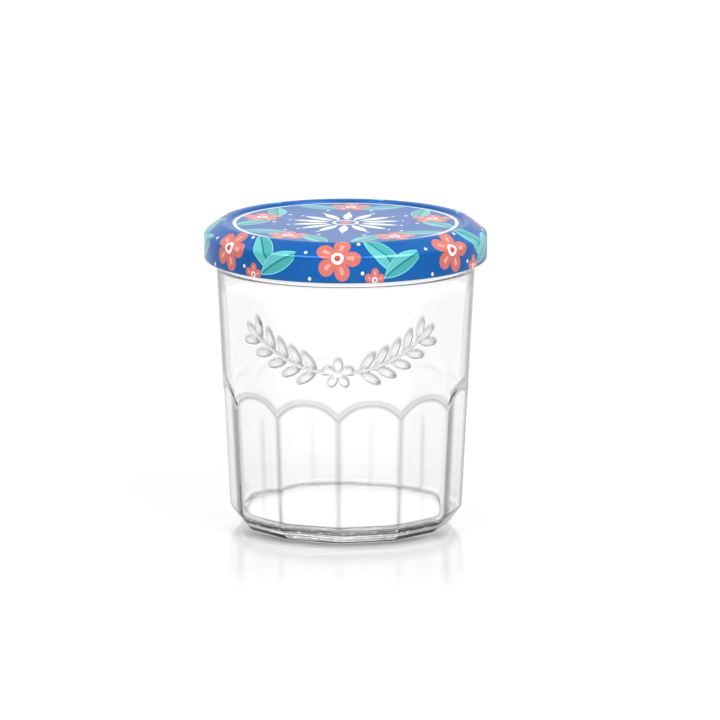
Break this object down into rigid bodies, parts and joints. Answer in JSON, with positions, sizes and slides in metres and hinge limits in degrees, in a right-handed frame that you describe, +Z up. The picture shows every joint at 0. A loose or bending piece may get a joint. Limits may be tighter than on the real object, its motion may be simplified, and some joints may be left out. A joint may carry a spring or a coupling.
{
  "type": "jam jar",
  "caption": "Empty clear glass jam jar with flat arched panels round its lower half, a raised garland on the front and a closed printed metal twist-off lid.",
  "frame": {"origin": "middle of the base, on the surface that the jar stands on", "axes": "+Z up along the jar's axis, -Y the front with the raised garland, +X to the right seen from the front"},
  "size_m": [0.085, 0.085, 0.0924],
  "materials": {
    "clear_glass": "clear colourless pressed glass, glossy inside and out",
    "printed_lid": "steel sheet, printed blue with leaves and blossoms outside and lacquered white inside, glossy"
  },
  "bodies": {
    "root": {"jar": "clear_glass", "lid": "printed_lid"}
  },
  "joints": []
}
